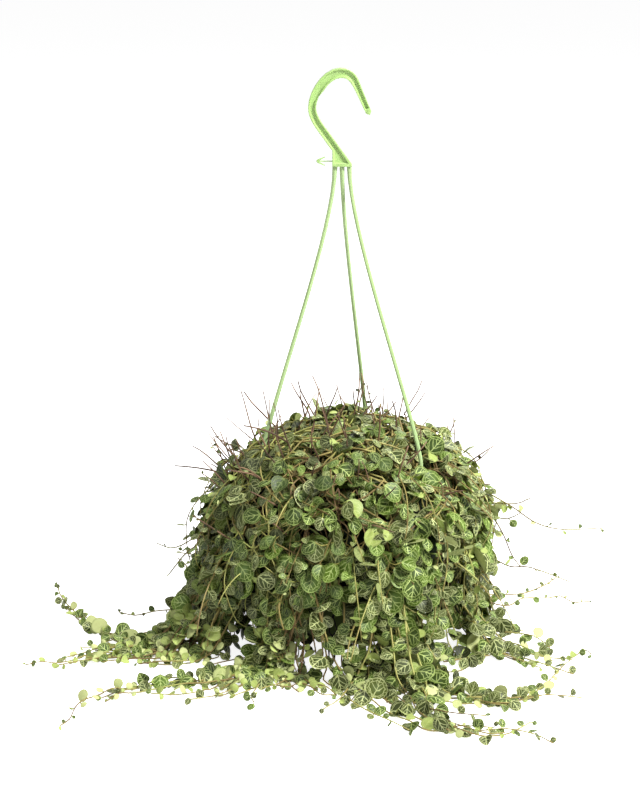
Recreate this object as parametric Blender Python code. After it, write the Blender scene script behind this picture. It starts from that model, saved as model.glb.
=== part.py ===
"""A hanging pot of string of turtles, standing on a table with its stems trailing over it.

Units are metres, +Z is up and -Y is the front. The origin is the middle of the pot's flat base.
"""

import math

import bmesh
import bpy
from mathutils import Vector, noise
from mathutils.geometry import interpolate_bezier

MM = 0.001
CLEARANCE = 0.4 * MM  # between any two pieces that touch

# Pot: a 13 cm plastic pot, with a flat base
POT_HEIGHT = 122 * MM
RIM_RADIUS = 65 * MM
RIM_THICKNESS = 2.2 * MM
WALL_TOP_RADIUS = 60 * MM
BASE_RADIUS = 40.5 * MM
WALL = 1.4 * MM
FLOOR_THICKNESS = 2.0 * MM
FOOT_CHAMFER = 1.2 * MM
POT_SEGMENTS = 48
DRAIN_HOLES = 6
DRAIN_RADIUS = 3.5 * MM
DRAIN_CIRCLE = 25 * MM
DRAIN_START = 0.39  # turn of the first hole, clear of the base's own edges
LUG_RADIUS = 3.5 * MM
LUG_HOLE_RADIUS = 1.9 * MM
SOIL_DEPTH = 10 * MM  # from the rim's top down to the soil

# Hanger: three strands, evenly spaced round the rim, and a hook over them
STRAND_CIRCLE = 62.6 * MM
STRAND_ANGLES = {"back": 78.5, "left": 198.5, "right": 318.5}
STRAND_SPACING = 4.75 * MM  # along the bar under the hook
STRAND_RADIUS = 1.35 * MM
STRAND_ROOT_RADIUS = 1.7 * MM
STRAND_END_RADIUS = 1.5 * MM
BARB_RADIUS = 2.3 * MM
BARB_LENGTH = 7 * MM
HUB = Vector((-5.9 * MM, 0, 322.7 * MM))  # middle of the underside of the hook's bar
HOOK_THICKNESS = 6 * MM
ARM_WIDTHS = [5.3, 5.3, 5.3, 5.3, 5.7, 5.6, 4.4, 3.8]  # in mm from head to tip, widest over the seat
SEAT_STEP = 1.1  # in mm, how far the inside edge steps in where the seat begins
SEAT_START, SEAT_END = 0.46, 0.80  # shares of the arm's length
WEB_THICKNESS = 3.2 * MM
FLANGE = 0.9 * MM  # flat edge beside the channel
DRAFT = 0.7 * MM  # how far the channel's walls slope in on the way to the web
BAR = 13 * MM
BAR_THICKNESS = 2 * MM
HEAD_HEIGHT = 10.9 * MM  # of the triangular head's upright side
TIP_LAND_POINTS = 1  # points of the arm's line that the channel stops short of its tip
LABEL_BARB_HEIGHT = 3.4 * MM
LABEL_BARB_THICKNESS = 1.0 * MM

# Foliage: half-section of the mound from the crown's edge to its widest, as (radius, height)
MOUND = [
    (46, 153), (58, 147), (70, 138), (82, 122), (92, 101), (101, 78), (107, 55), (110, 32),
]
CROWN_RADIUS = 44.5 * MM
CROWN_TOP = 157 * MM
CURTAINS = 12
CURTAIN_STEPS = 5
CURTAIN_HEMS = [10, 12, 12, 14, 18, 30, 32, 14, 12, 14, 12, 10]  # height of each lower edge in mm
STRAND_GAP = 2.5 * MM  # half the slot between two curtains that lets a strand through
CURTAIN_GAP = 0.4 * MM  # half the gap between any other two
BUMP = 3 * MM

# Stems
STEM_RADIUS = 1.1 * MM
STEM_SIDES = 6
LEAF_THICKNESS = 1.2 * MM
LEAF_SIDES = 6
LEAF_LAP = 0.5 * MM  # how far a leaf's edge passes the middle of its stem
LEAF_STEP = 19 * MM  # along a stem
SPIKE_RADIUS = 1.0 * MM

# Trailing stems in mm. Each leaves the mound at the first point, then lies along the table's (x, y).
TRAILING_STEMS = [
    [(-117, 26, 20), (-135, 22), (-150, 18), (-161, 22)],
    [(-114, -12, 22), (-136, -24), (-158, -26), (-181, -6), (-200, 32), (-213, 71)],
    [(-110, -38, 22), (-137, -50), (-167, -60), (-192, -74), (-213, -80)],
    [(-104, -56, 22), (-122, -72), (-143, -86), (-165, -95)],
    [(-46, -66, 26), (-72, -92), (-113, -110), (-148, -122), (-167, -144), (-176, -177)],
    [(-36, -72, 28), (-60, -108), (-84, -124), (-106, -132), (-128, -134)],
    [(-24, -81, 29), (-38, -104), (-54, -124), (-58, -148)],
    [(-8, -79, 30), (-18, -112), (-24, -136), (-16, -152)],
    [(6, -80, 30), (6, -112), (16, -142), (40, -170), (74, -182), (104, -188), (123, -203)],
    [(40, -108, 22), (46, -126), (64, -146), (92, -160), (116, -168)],
    [(54, -103, 24), (68, -122), (92, -132), (120, -132), (149, -137)],
    [(72, -92, 24), (92, -112), (116, -116), (138, -98), (152, -76)],
    [(92, -70, 24), (110, -82), (138, -76), (168, -58)],
    [(104, -48, 24), (119, -40), (131, -42), (137, -59)],
    [(116, 8, 24), (128, 30), (150, 42), (175, 37)],
    [(108, 46, 24), (128, 54), (146, 68), (158, 88)],
    [(86, 80, 24), (102, 94), (112, 116), (114, 140)],
    [(50, 106, 22), (58, 126), (56, 150), (70, 172)],
    [(10, 117, 22), (4, 138), (10, 162), (-2, 184)],
    [(-34, 112, 22), (-42, 132), (-62, 152), (-70, 176)],
    [(-74, 92, 22), (-92, 108), (-104, 132), (-128, 144)],
    [(-104, 56, 22), (-115, 76), (-122, 103), (-131, 127)],
]

# Stems held up in the air, in mm
SIDE_SHOOTS = [
    [(105, -10, 92), (120, -14, 86), (136, -18, 78), (156, -20, 74), (172, -20, 77)],
    [(111, -2, 46), (124, -8, 40), (138, -12, 38), (152, -14, 36)],
    [(-109, 8, 60), (-118, 10, 54), (-127, 10, 52), (-137, 12, 55)],
    [(-108, -18, 62), (-119, -22, 58), (-128, -26, 50)],
]

# Flower spikes in mm, from foot to tip
FLOWER_SPIKES = [
    [(-60, 10, 150), (-68, 12, 158), (-73, 13, 165)],
    [(-88, -8, 113), (-104, -10, 117), (-120, -8, 118)],
    [(-30, 20, 156), (-34, 23, 163), (-36, 25, 170)],
    [(8, 18, 160), (10, 20, 168), (8, 22, 176)],
    [(44, 26, 156), (48, 28, 162), (51, 31, 169)],
    [(-52, -36, 149), (-62, -41, 154), (-71, -45, 157)],
]

DARK_GREEN_PLASTIC = (0.075, 0.1, 0.022, 1)
LIME_PLASTIC = (0.45, 0.72, 0.24, 1)
PEAT = (0.035, 0.02, 0.012, 1)
LEAF_GREEN = (0.09, 0.17, 0.045, 1)
STEM_TAN = (0.3, 0.2, 0.08, 1)
SPIKE_BROWN = (0.1, 0.035, 0.03, 1)


def clear_scene():
    for obj in list(bpy.data.objects):
        bpy.data.objects.remove(obj)


def plain_material(name, colour, roughness):
    material = bpy.data.materials.new(name)
    material.use_nodes = True
    shader = material.node_tree.nodes["Principled BSDF"]
    shader.inputs["Base Color"].default_value = colour
    shader.inputs["Roughness"].default_value = roughness
    material.diffuse_color = colour
    return material


def add_piece(name, bm, colour, roughness=0.5):
    bmesh.ops.recalc_face_normals(bm, faces=bm.faces)
    mesh = bpy.data.meshes.new(name)
    bm.to_mesh(mesh)
    bm.free()
    mesh.shade_smooth()
    mesh.set_sharp_from_angle(angle=math.radians(35))
    mesh.materials.append(plain_material(name, colour, roughness))
    obj = bpy.data.objects.new(name, mesh)
    bpy.context.scene.collection.objects.link(obj)
    return obj


def add_helper(name, bm, collection=None):
    """A cutter, or a shape that is joined to a piece: it is no piece itself."""
    bmesh.ops.recalc_face_normals(bm, faces=bm.faces)
    mesh = bpy.data.meshes.new(name)
    bm.to_mesh(mesh)
    bm.free()
    obj = bpy.data.objects.new(name, mesh)
    (collection or bpy.context.scene.collection).objects.link(obj)
    obj.hide_render = True
    obj.display_type = "WIRE"
    return obj


def combine(obj, other, operation):
    modifier = obj.modifiers.new(other.name, "BOOLEAN")
    modifier.operation = operation
    if isinstance(other, bpy.types.Collection):
        modifier.operand_type = "COLLECTION"
        modifier.collection = other
    else:
        modifier.object = other


def polar(radius, angle, z):
    return Vector((radius * math.cos(angle), radius * math.sin(angle), z))


def bridge(bm, first, second):
    """Joins two closed rings of vertices, either of which may be one vertex on the axis."""
    count = max(len(first), len(second))
    for i in range(count):
        after = (i + 1) % count
        corners = [first[i % len(first)], first[after % len(first)]]
        corners += [second[after % len(second)], second[i % len(second)]]
        bm.faces.new(list(dict.fromkeys(corners)))


def turned(profile, segments, middle=(0, 0), start=0.0):
    """A solid of revolution. The profile is (radius, height) and starts and ends on the axis."""
    bm = bmesh.new()
    rings = []
    for radius, z in profile:
        count = segments if radius > 0 else 1
        angles = [start + math.tau * i / count for i in range(count)]
        rings.append([bm.verts.new(polar(radius, a, z) + Vector((*middle, 0))) for a in angles])
    for first, second in zip(rings, rings[1:]):
        bridge(bm, first, second)
    return bm


def smooth_route(points, step):
    """Points about a step apart on a smooth curve through the given ones."""
    points = [Vector(p) for p in points]
    ends = [2 * points[0] - points[1]] + points + [2 * points[-1] - points[-2]]
    route = []
    for before, a, b, after in zip(ends, ends[1:], ends[2:], ends[3:]):
        count = max(2, round((b - a).length / step) + 1)
        route += interpolate_bezier(a, a + (b - before) / 6, b - (after - a) / 6, b, count)[:-1]
    return route + [points[-1]]


def tube(route, radius_at, sides):
    """A closed tube along a route. radius_at takes the share of the route that lies behind."""
    bm = bmesh.new()
    side = Vector((0, 0, 1))
    rings = []
    for i, point in enumerate(route):
        along = (route[min(i + 1, len(route) - 1)] - route[max(i - 1, 0)]).normalized()
        side = (side - side.dot(along) * along).normalized()
        across = along.cross(side)
        radius = radius_at(i / (len(route) - 1))
        turns = [math.tau * (j + 0.5) / sides for j in range(sides)]
        ring = [point + radius * (math.cos(t) * side + math.sin(t) * across) for t in turns]
        rings.append([bm.verts.new(p) for p in ring])
    for first, second in zip(rings, rings[1:]):
        bridge(bm, first, second)
    bm.faces.new(rings[0])
    bm.faces.new(rings[-1])
    return bm


def loft(sections):
    """A solid through outlines in XZ that all have as many points. Each section is (y, outline)."""
    bm = bmesh.new()
    rings = [[bm.verts.new((x, y, z)) for x, z in outline] for y, outline in sections]
    for first, second in zip(rings, rings[1:]):
        bridge(bm, first, second)
    bm.faces.new(rings[0])
    bm.faces.new(rings[-1])
    return bm


# Pot and soil


def wall_radius(z):
    """Outside radius of the tapered wall."""
    return BASE_RADIUS + (WALL_TOP_RADIUS - BASE_RADIUS) * z / (POT_HEIGHT - RIM_THICKNESS)


def make_pot():
    under_rim = POT_HEIGHT - RIM_THICKNESS
    inside_foot = wall_radius(FLOOR_THICKNESS) - WALL
    profile = [
        (0, 0),
        (BASE_RADIUS - FOOT_CHAMFER, 0),
        (wall_radius(FOOT_CHAMFER), FOOT_CHAMFER),
        (wall_radius(under_rim), under_rim),
        (RIM_RADIUS, under_rim),
        (RIM_RADIUS, POT_HEIGHT),
        (WALL_TOP_RADIUS - WALL, POT_HEIGHT),
        (inside_foot, FLOOR_THICKNESS),
        (0, FLOOR_THICKNESS),
    ]
    pot = add_piece("pot", turned(profile, POT_SEGMENTS), DARK_GREEN_PLASTIC, 0.42)
    for name, degrees in STRAND_ANGLES.items():
        middle = polar(STRAND_CIRCLE, math.radians(degrees), 0).xy
        inset = 0.1 * MM
        low, high = under_rim + inset, POT_HEIGHT - inset
        lug = turned([(0, low), (LUG_RADIUS, low), (LUG_RADIUS, high), (0, high)], 16, middle)
        combine(pot, add_helper(f"lug_{name}", lug), "UNION")
        low, high = under_rim - 5 * MM, POT_HEIGHT + 5 * MM
        radius = LUG_HOLE_RADIUS
        hole = turned([(0, low), (radius, low), (radius, high), (0, high)], 12, middle)
        combine(pot, add_helper(f"lug_hole_{name}", hole), "DIFFERENCE")
    for i in range(DRAIN_HOLES):
        middle = polar(DRAIN_CIRCLE, DRAIN_START + math.tau * i / DRAIN_HOLES, 0).xy
        low, high = -5 * MM, FLOOR_THICKNESS + 5 * MM
        profile = [(0, low), (DRAIN_RADIUS, low), (DRAIN_RADIUS, high), (0, high)]
        hole = turned(profile, 12, middle, DRAIN_START / 2)
        combine(pot, add_helper(f"drain_hole_{i}", hole), "DIFFERENCE")


def make_soil():
    low, high = FLOOR_THICKNESS + CLEARANCE, POT_HEIGHT - SOIL_DEPTH
    profile = [
        (0, low),
        (wall_radius(low) - WALL - CLEARANCE, low),
        (wall_radius(high) - WALL - CLEARANCE, high),
        (0, high + 1 * MM),
    ]
    add_piece("soil", turned(profile, POT_SEGMENTS), PEAT, 0.95)


# Hanger


def hook_centreline():
    """Points from the head, up the arm and over to the tip, in mm from the hub."""
    knots = [  # point, handle before it and handle after it
        ((-3.6, 10.9), (0, 0), (-3.5, 4.8)),
        ((-14.5, 25.9), (2.4, -3.3), (-2.7, 3.7)),
        ((-19.8, 38.7), (0, -4.6), (0, 9.0)),
        ((-1.35, 61.6), (-9.5, 0), (7.0, 0)),
        ((9.6, 52.9), (-2.1, 4.6), (2.4, -5.3)),
        ((17.35, 35.7), (-2.4, 5.3), (0, 0)),
    ]
    line = []
    for (start, _, leaving), (end, arriving, _) in zip(knots, knots[1:]):
        start, end = Vector(start), Vector(end)
        line += interpolate_bezier(start, start + Vector(leaving), end + Vector(arriving), end, 8)[:-1]
    return [p.to_2d() for p in line] + [Vector(knots[-1][0])]


def hook_width(share):
    """The arm's width in mm at this share of its length."""
    place = share * (len(ARM_WIDTHS) - 1)
    first = min(int(place), len(ARM_WIDTHS) - 2)
    return ARM_WIDTHS[first] + (place - first) * (ARM_WIDTHS[first + 1] - ARM_WIDTHS[first])


def seat_step(share):
    """How much further in the inside edge stands in mm, from its step to where it runs out."""
    return SEAT_STEP * max(0.0, SEAT_END - share) / (SEAT_END - SEAT_START) if share > SEAT_START else 0.0


def hook_sides(line, inset):
    """The arm's outer and inner edges, drawn in by inset where the arm has its first width."""
    outer, inner = [], []
    for i, point in enumerate(line):
        share = i / (len(line) - 1)
        along = (line[min(i + 1, len(line) - 1)] - line[max(i - 1, 0)]).normalized()
        half = hook_width(share) * (0.5 - inset / ARM_WIDTHS[0])
        normal = Vector((-along.y, along.x))
        outer.append(point + half * normal)
        inner.append(point - (half + seat_step(share)) * normal)
    return outer, inner


def hook_outline(line, inset=0.0, bar=0.0):
    """The hook's outline in metres at its place: the head's base, up the outside, down the inside.

    The inset and the height of the base over the bar's underside are in mm.
    """
    outer, inner = hook_sides(line, inset)
    half_bar = BAR / MM / 2
    head = HEAD_HEIGHT / MM
    foot = [(half_bar - 2.1 * inset, bar), (-half_bar + inset, bar), (-half_bar + inset, head)]
    along = (line[-1] - line[-2]).normalized()
    tip = [line[-1] + along * hook_width(1) / 2] if inset == 0 else []
    # The inside edge meets the bar's corner just above the bar.
    corner = [(half_bar, bar + 1.6)] if inset == 0 else []
    points = [Vector(p) for p in foot] + outer[1:] + tip + inner[:0:-1] + [Vector(p) for p in corner]
    return [(HUB.x + p.x * MM, HUB.z + p.y * MM) for p in points]


def label_barb_outline():
    """An arrow that points away from the head, for hanging a label on."""
    root = -BAR / MM / 2 + 0.6
    height = LABEL_BARB_HEIGHT / MM
    upper = [(root, 0.35), (-15.2, 0.35), (-11.0, 2.6), (-11.4, 3.1), (-16.4, 1.1), (-17.2, 0)]
    lower = [(x, -z) for x, z in reversed(upper[:-1])]
    return [(HUB.x + x * MM, HUB.z + (height + z) * MM) for x, z in upper + lower]


def make_hook():
    half = HOOK_THICKNESS / 2
    line = hook_centreline()
    whole = hook_outline(line)
    hook = add_piece("hanger_hook", loft([(-half, whole), (half, whole)]), LIME_PLASTIC, 0.4)
    inset, bar, draft = FLANGE / MM, BAR_THICKNESS / MM, DRAFT / MM
    mouth = hook_outline(line[:-TIP_LAND_POINTS], inset, bar)
    web = hook_outline(line[:-TIP_LAND_POINTS], inset + draft, bar + draft)
    for name, side in (("front", -1), ("back", 1)):
        sections = [(side * 2 * half, mouth), (side * half, mouth), (side * WEB_THICKNESS / 2, web)]
        combine(hook, add_helper(f"hook_channel_{name}", loft(sections)), "DIFFERENCE")
    arrow = label_barb_outline()
    thickness = LABEL_BARB_THICKNESS
    barb = add_helper("label_barb", loft([(-thickness / 2, arrow), (thickness / 2, arrow)]))
    combine(hook, barb, "UNION")


def strand_route(place, angle):
    """From the bar, out and down to the rim's hole."""
    top = HUB + Vector((place * STRAND_SPACING, 0, -CLEARANCE))
    end = polar(STRAND_CIRCLE, angle, POT_HEIGHT + 6 * MM)
    bend = Vector((0, 0, 22 * MM))
    route = interpolate_bezier(top, top - 2.05 * bend, end + bend, end, 19)
    return route + [polar(STRAND_CIRCLE, angle, POT_HEIGHT - RIM_THICKNESS - 2 * CLEARANCE)]


def strand_radius(share):
    root = max(0.0, 1 - share / 0.08)
    radius = STRAND_RADIUS + (STRAND_END_RADIUS - STRAND_RADIUS) * share
    return radius + (STRAND_ROOT_RADIUS - STRAND_RADIUS) * root


def make_strands():
    for place, name in ((-1, "left"), (0, "back"), (1, "right")):
        angle = math.radians(STRAND_ANGLES[name])
        route = strand_route(place, angle)
        strand = tube(route, strand_radius, 8)
        piece = add_piece(f"hanger_strand_{name}", strand, LIME_PLASTIC, 0.4)
        top = route[-1].z + CLEARANCE
        barb = [(0, top), (BARB_RADIUS, top), (0.5 * BARB_RADIUS, top - BARB_LENGTH)]
        barb = turned(barb + [(0, top - BARB_LENGTH)], 10, route[-1].xy)
        combine(piece, add_helper(f"barb_{name}", barb), "UNION")


# Foliage


def lump(angle, z):
    """How far the foliage swells or shrinks here."""
    place = polar(1, angle, z / (40 * MM))
    return BUMP * noise.noise(2.2 * place)


def make_crown():
    low = POT_HEIGHT - SOIL_DEPTH + 1 * MM + 2 * CLEARANCE
    share_and_height = [(1, CROWN_TOP - 6 * MM), (0.78, CROWN_TOP - 2 * MM), (0.4, CROWN_TOP)]
    profile = [(0, low), (CROWN_RADIUS, low), (CROWN_RADIUS, low + 20 * MM)]
    profile += [(share * CROWN_RADIUS, z) for share, z in share_and_height]
    crown = turned(profile + [(0, CROWN_TOP)], 18)
    for vertex in crown.verts:
        if vertex.co.z > CROWN_TOP - 5 * MM:
            vertex.co.z += 2 * BUMP * noise.noise(vertex.co / (14 * MM))
    add_piece("foliage_crown", crown, LEAF_GREEN, 0.6)


def curtain_section(hem):
    """The cut through a curtain: (radius, height, whether it swells), from the top round to the top."""
    over_rim = POT_HEIGHT + 2 * CLEARANCE
    over_soil = POT_HEIGHT - SOIL_DEPTH + 2.5 * MM
    inside_wall = wall_radius(over_soil) - WALL - 3 * CLEARANCE
    outer = [(r * MM, z * MM, True) for r, z in MOUND if z * MM > hem + 12 * MM]
    hem_radius = outer[-1][0] - 2 * MM
    inner_radius = RIM_RADIUS + LUG_RADIUS
    inner = [
        (inner_radius + 8 * MM, hem),
        (inner_radius + 2 * MM, hem + 45 * MM),
        (inner_radius, over_rim - 20 * MM),
        (inner_radius, over_rim),
        (inside_wall, over_rim),
        (inside_wall, over_soil),
        (MOUND[0][0] * MM, over_soil),
    ]
    return outer + [(hem_radius, hem, True)] + [(r, z, False) for r, z in inner]


def make_curtain(index):
    section = curtain_section(CURTAIN_HEMS[index] * MM)
    turn = math.tau / CURTAINS
    start = math.radians(STRAND_ANGLES["back"]) + index * turn
    between_strands = CURTAINS // len(STRAND_ANGLES)
    first_gap = STRAND_GAP if index % between_strands == 0 else CURTAIN_GAP
    last_gap = STRAND_GAP if (index + 1) % between_strands == 0 else CURTAIN_GAP
    bm = bmesh.new()
    rings = []
    for step in range(CURTAIN_STEPS + 1):
        ring = []
        for radius, z, swells in section:
            low = start + math.asin(first_gap / radius)
            high = start + turn - math.asin(last_gap / radius)
            angle = low + (high - low) * step / CURTAIN_STEPS
            if swells:
                radius += lump(angle, z)
            ring.append(bm.verts.new(polar(radius, angle, z)))
        rings.append(ring)
    for first, second in zip(rings, rings[1:]):
        bridge(bm, first, second)
    bm.faces.new(rings[0])
    bm.faces.new(rings[-1])
    add_piece(f"foliage_curtain_{index + 1:02d}", bm, LEAF_GREEN, 0.6)


# Stems


def lying_route(stem):
    """From the mound down to the table and along it, in metres."""
    start, rest = stem[0], stem[1:]
    route = smooth_route([start] + [(x, y, STEM_RADIUS / MM) for x, y in rest], 9)
    return [Vector((p.x, p.y, max(p.z, STEM_RADIUS / MM))) * MM for p in route]


def stem_radius(share):
    return STEM_RADIUS * (1 - 0.45 * share)


def leaf_places(route):
    """Middle and radius of each leaf, on alternate sides of the stretch that lies on the table."""
    places, walked, side = [], 0.0, 1
    length = sum((b - a).length for a, b in zip(route, route[1:]))
    for i, (a, b) in enumerate(zip(route, route[1:])):
        walked += (b - a).length
        lies = b.z < 1.6 * STEM_RADIUS
        if not lies or walked < LEAF_STEP * (len(places) + 1) or i > len(route) - 3:
            continue
        along = (b - a).normalized()
        radius = (7.5 - 4.0 * walked / length) * MM
        across = Vector((-along.y, along.x, 0)) * side
        places.append((b + (radius - LEAF_LAP) * across, radius))
        side = -side
    return places


def is_clear(middle, radius, own_route, routes, leaves):
    for other, size in leaves:
        if (other - middle).length < radius + size + CLEARANCE:
            return False
    for route in routes:
        if route is own_route:
            continue
        if min((p - middle).length for p in route) < radius + 5 * MM:
            return False
    return math.hypot(middle.x, middle.y) > radius + 112 * MM


def add_leaves(stem, name, places):
    """Joins a flat leaf to the stem at each place."""
    leaves = bpy.data.collections.new(f"leaves_of_{name}")
    leaves.hide_render = True
    bpy.context.scene.collection.children.link(leaves)
    for i, (middle, radius) in enumerate(places):
        low = STEM_RADIUS - 0.4 * LEAF_THICKNESS
        profile = [(0, low), (radius, low), (radius, low + LEAF_THICKNESS)]
        leaf = turned(profile + [(0, low + LEAF_THICKNESS)], LEAF_SIDES, middle.xy, 0.3 * i)
        add_helper(f"leaf_{name}_{i}", leaf, leaves)
    combine(stem, leaves, "UNION")


def make_trailing_stems():
    routes = [lying_route(stem) for stem in TRAILING_STEMS]
    leaves = []
    for index, route in enumerate(routes):
        name = f"trailing_stem_{index + 1:02d}"
        stem = add_piece(name, tube(route, stem_radius, STEM_SIDES), STEM_TAN)
        places = []
        for middle, radius in leaf_places(route):
            if is_clear(middle, radius, route, routes, leaves):
                places.append((middle, radius))
                leaves.append((middle, radius))
        if places:
            add_leaves(stem, name, places)


def make_side_shoots():
    for index, shoot in enumerate(SIDE_SHOOTS):
        route = [p * MM for p in smooth_route(shoot, 9)]
        bm = tube(route, stem_radius, STEM_SIDES)
        add_piece(f"side_shoot_{index + 1}", bm, STEM_TAN)


def make_flower_spikes():
    for index, spike in enumerate(FLOWER_SPIKES):
        route = [p * MM for p in smooth_route(spike, 7)]
        bm = tube(route, lambda share: SPIKE_RADIUS * (1 - 0.7 * share), STEM_SIDES)
        add_piece(f"flower_spike_{index + 1}", bm, SPIKE_BROWN)


clear_scene()
make_pot()
make_soil()
make_hook()
make_strands()
make_crown()
for curtain in range(CURTAINS):
    make_curtain(curtain)
make_trailing_stems()
make_side_shoots()
make_flower_spikes()
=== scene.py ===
import math
import random

import bpy
import numpy as np
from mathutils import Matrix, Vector, noise


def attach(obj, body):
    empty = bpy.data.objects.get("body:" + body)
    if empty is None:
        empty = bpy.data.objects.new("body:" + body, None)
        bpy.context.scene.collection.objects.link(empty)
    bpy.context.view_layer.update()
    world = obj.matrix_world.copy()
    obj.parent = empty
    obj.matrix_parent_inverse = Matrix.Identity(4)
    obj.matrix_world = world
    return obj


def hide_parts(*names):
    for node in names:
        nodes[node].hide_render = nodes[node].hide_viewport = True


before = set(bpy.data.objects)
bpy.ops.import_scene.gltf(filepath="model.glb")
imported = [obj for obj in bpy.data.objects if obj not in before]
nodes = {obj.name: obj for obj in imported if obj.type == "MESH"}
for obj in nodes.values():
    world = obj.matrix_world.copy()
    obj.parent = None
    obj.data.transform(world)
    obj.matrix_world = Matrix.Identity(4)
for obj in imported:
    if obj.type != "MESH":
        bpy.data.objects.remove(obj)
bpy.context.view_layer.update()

mm = 0.001
up = Vector((0, 0, 1))


# Node trees

def fillInputs(tree, node, inputs):
    for key, value in inputs.items():
        if isinstance(value, bpy.types.NodeSocket):
            tree.links.new(value, node.inputs[key])
        else:
            node.inputs[key].default_value = value
    return node


def addNode(tree, kind, inputs=None, **settings):
    node = tree.nodes.new("ShaderNode" + kind)
    for key, value in settings.items():
        setattr(node, key, value)
    return fillInputs(tree, node, inputs or {})


def useGroup(tree, group, inputs):
    return addNode(tree, "Group", inputs, node_tree=group)


def calc(tree, operation, a, b=0.0, clamp=False):
    return addNode(tree, "Math", {0: a, 1: b}, operation=operation, use_clamp=clamp).outputs[0]


def plus(tree, a, b, clamp=False):
    return calc(tree, "ADD", a, b, clamp)


def minus(tree, a, b):
    return calc(tree, "SUBTRACT", a, b)


def times(tree, a, b):
    return calc(tree, "MULTIPLY", a, b)


def vectorCalc(tree, operation, a, b=None, output="Vector"):
    # A step on whole vectors; b is a number for SCALE and nothing where the step takes one vector
    inputs = {0: a} if b is None else {0: a, "Scale" if operation == "SCALE" else 1: b}
    return addNode(tree, "VectorMath", inputs, operation=operation).outputs[output]


def mixColour(tree, factor, a, b):
    node = addNode(tree, "Mix", {0: factor, 6: a, 7: b}, data_type="RGBA", clamp_factor=True)
    return node.outputs[2]


def blend(tree, value, low, high, toLow=0.0, toHigh=1.0):
    # A soft step: toLow where value is below low, toHigh where it is above high
    inputs = {"Value": value, "From Min": low, "From Max": high, "To Min": toLow, "To Max": toHigh}
    return addNode(tree, "MapRange", inputs, interpolation_type="SMOOTHSTEP").outputs[0]


def noiseValue(tree, place, scale, detail=2.0, roughness=0.5):
    inputs = {"Vector": place, "Scale": scale, "Detail": detail, "Roughness": roughness}
    return addNode(tree, "TexNoise", inputs).outputs[0]


def newGroup(name, inputs, outputs):
    group = bpy.data.node_groups.new(name, "ShaderNodeTree")
    for way, sockets in (("INPUT", inputs), ("OUTPUT", outputs)):
        for socket, kind in sockets:
            group.interface.new_socket(socket, in_out=way, socket_type="NodeSocket" + kind)
    return group, group.nodes.new("NodeGroupInput"), group.nodes.new("NodeGroupOutput")


def newMaterial(name, **sockets):
    material = bpy.data.materials.new(name)
    material.use_nodes = True
    shader = material.node_tree.nodes["Principled BSDF"]
    for key, value in sockets.items():
        shader.inputs[key.replace("_", " ")].default_value = value
    return material, material.node_tree, shader


def addBump(tree, shader, height, distance, strength=1.0):
    bump = addNode(tree, "Bump", {"Height": height, "Distance": distance, "Strength": strength})
    fillInputs(tree, shader, {"Normal": bump.outputs[0]})


def objectPlace(tree):
    return addNode(tree, "TexCoord").outputs["Object"]


# A soft line between two points, for leaf veins
veinLine, ins, outs = newGroup(
    "vein line",
    [("Place", "Vector"), ("From", "Vector"), ("To", "Vector"), ("Width", "Float")],
    [("Mask", "Float")],
)
toPlace = vectorCalc(veinLine, "SUBTRACT", ins.outputs[0], ins.outputs[1])
toEnd = vectorCalc(veinLine, "SUBTRACT", ins.outputs[2], ins.outputs[1])
along = vectorCalc(veinLine, "DOT_PRODUCT", toPlace, toEnd, "Value")
whole = vectorCalc(veinLine, "DOT_PRODUCT", toEnd, toEnd, "Value")
share = calc(veinLine, "DIVIDE", along, whole, clamp=True)
gap = vectorCalc(veinLine, "DISTANCE", toPlace, vectorCalc(veinLine, "SCALE", toEnd, share), "Value")
taper = times(veinLine, ins.outputs[3], minus(veinLine, 1.0, times(veinLine, share, 0.35)))
mask = blend(veinLine, calc(veinLine, "DIVIDE", gap, taper), 0.35, 1.15, 1.0, 0.0)
veinLine.links.new(mask, outs.inputs[0])

# Uneven tint and fine relief of a grown or moulded surface
unevenSkin, ins, outs = newGroup(
    "uneven skin",
    [("Place", "Vector"), ("Patch Scale", "Float"), ("Grain Scale", "Float")],
    [("Patch", "Float"), ("Grain", "Float")],
)
patch = noiseValue(unevenSkin, ins.outputs[0], ins.outputs[1], 3.0, 0.55)
grain = noiseValue(unevenSkin, ins.outputs[0], ins.outputs[2], 2.0, 0.6)
unevenSkin.links.new(blend(unevenSkin, patch, 0.3, 0.7), outs.inputs[0])
unevenSkin.links.new(grain, outs.inputs[1])


def coverUneven(tree, shader, patchScale, grainScale, roughness, grainShare):
    # Puts uneven skin on a material and sets its roughness; gives back the patches and the grain
    scales = {"Place": objectPlace(tree), "Patch Scale": patchScale, "Grain Scale": grainScale}
    skin = useGroup(tree, unevenSkin, scales)
    grain = skin.outputs["Grain"]
    tree.links.new(plus(tree, roughness, times(tree, grain, grainShare)), shader.inputs["Roughness"])
    return skin.outputs["Patch"], grain


# Leaf finish. Every leaf is laid on one cell of a square sheet of cells, by its UV map. Rows 0 and 1 hold old
# patterned tops, rows 2 and 3 fresh ones, and of these rows 1 and 3 are boldly veined. Row 4 holds the plain
# young tops and row 5 the undersides. Columns run from dark to light; a leaf's column is partly its own tone
# and partly painted shade and light, darker in the depth of the foliage and lighter on the side the key lamp
# falls on.
# Column 0 is painted shadow.

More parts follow.
